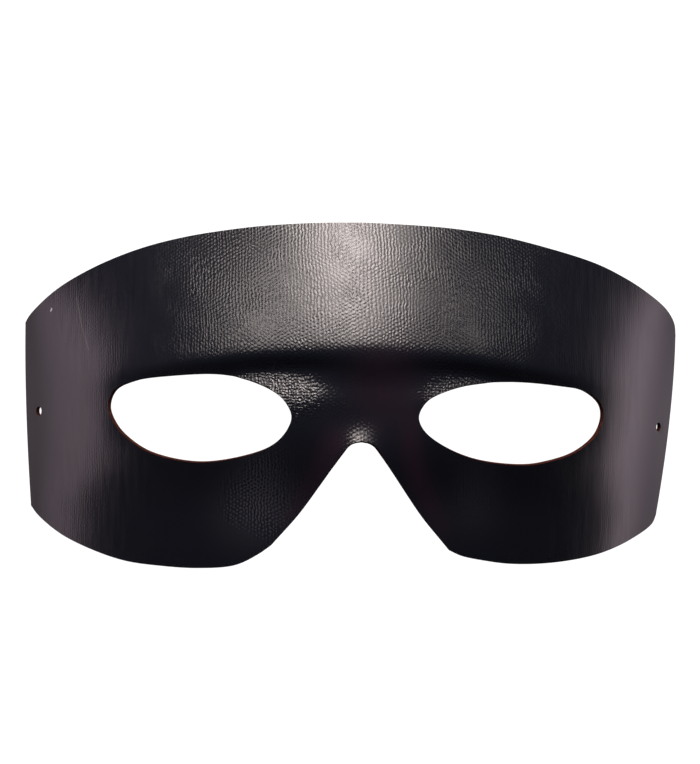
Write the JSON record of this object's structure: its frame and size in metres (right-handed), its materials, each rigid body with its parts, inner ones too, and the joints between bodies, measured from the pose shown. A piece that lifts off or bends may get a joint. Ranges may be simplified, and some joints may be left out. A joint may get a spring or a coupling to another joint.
{
  "type": "domino mask",
  "caption": "Eye mask of black grained imitation leather, pressed to a brow and nose, with eye openings, a nose notch and punched cord holes.",
  "frame": {"origin": "middle of the mask's footprint, on the surface it lies on", "axes": "+X across the face from the left to the right of the picture, +Y up the face towards the forehead, +Z out of the face, away from the wearer"},
  "size_m": [0.1808, 0.0922, 0.0572],
  "materials": {
    "leatherette": "black imitation leather with a fine pressed grain and a soft sheen on a brown fibre board"
  },
  "bodies": {
    "root": {"mask_shell": "leatherette"}
  },
  "joints": []
}
